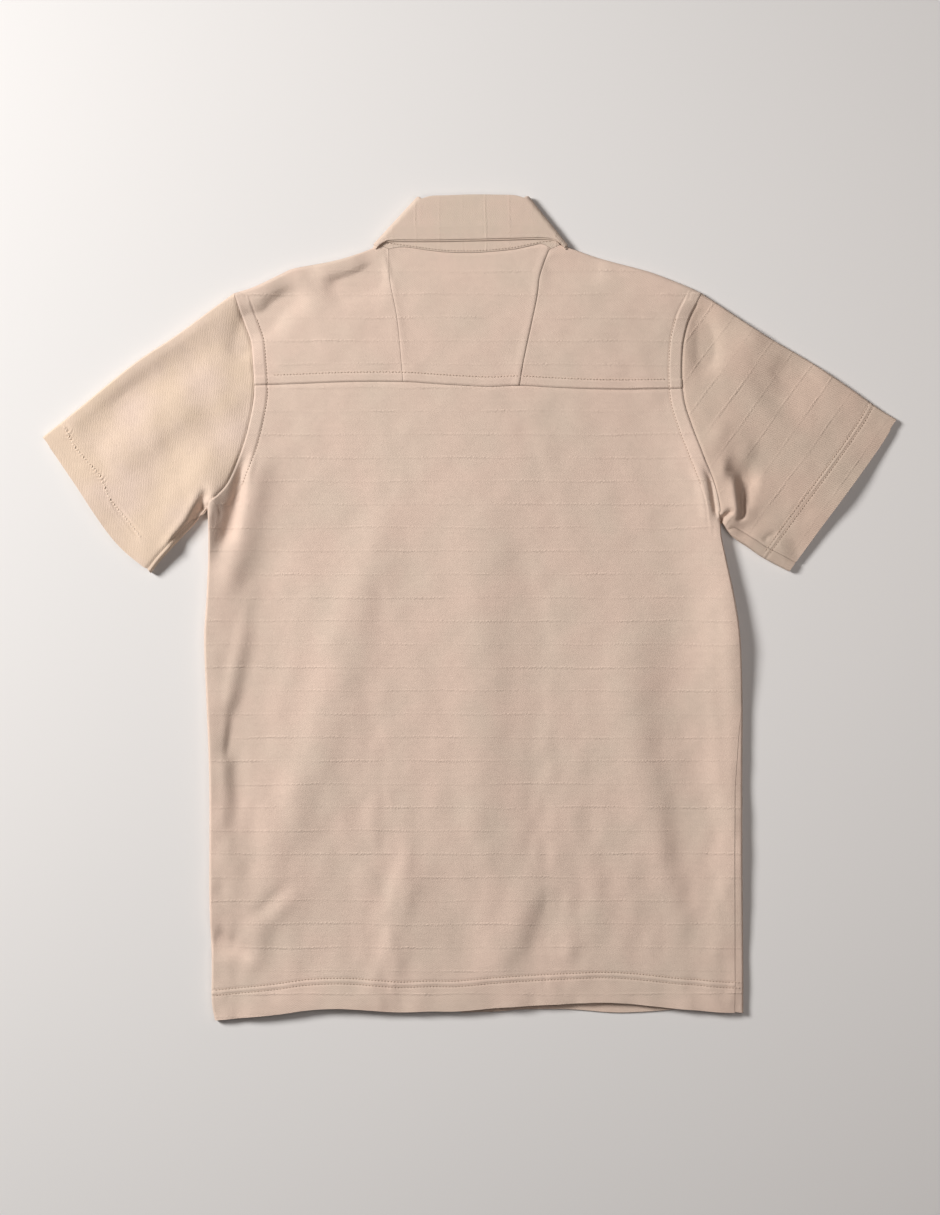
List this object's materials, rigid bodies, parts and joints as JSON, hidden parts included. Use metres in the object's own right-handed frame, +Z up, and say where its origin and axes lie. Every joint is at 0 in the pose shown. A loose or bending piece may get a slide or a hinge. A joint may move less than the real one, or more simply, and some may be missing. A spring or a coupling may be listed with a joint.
{
  "type": "short-sleeve shirt",
  "caption": "Short-sleeve button-through shirt laid flat with its back up, with a turned-down collar and a three-part yoke.",
  "frame": {"origin": "on the surface it lies on, under the middle of the laid-out shirt's outline", "axes": "+X to the wearer's right, +Y towards the collar, +Z up out of the back"},
  "size_m": [0.803, 0.776, 0.0148],
  "materials": {
    "shirt_cloth": "matt oatmeal knit with fine broken ribs across",
    "sleeve_cloth": "the same knit, its ribs along the cuff",
    "collar_cloth": "the same knit, its ribs up the collar",
    "button": "satin"
  },
  "bodies": {
    "root": {"back": "shirt_cloth", "yoke_left": "shirt_cloth", "yoke_centre": "shirt_cloth", "yoke_right": "shirt_cloth", "front_left": "shirt_cloth", "front_right": "shirt_cloth", "placket_left": "shirt_cloth", "placket_right": "shirt_cloth", "sleeve_left": "sleeve_cloth", "sleeve_right": "sleeve_cloth", "collar_stand": "collar_cloth", "collar_leaf": "collar_cloth", "collar_under": "collar_cloth", "button_stand": "button", "button_1": "button", "button_2": "button", "button_3": "button", "button_4": "button", "button_5": "button", "button_6": "button"}
  },
  "joints": []
}
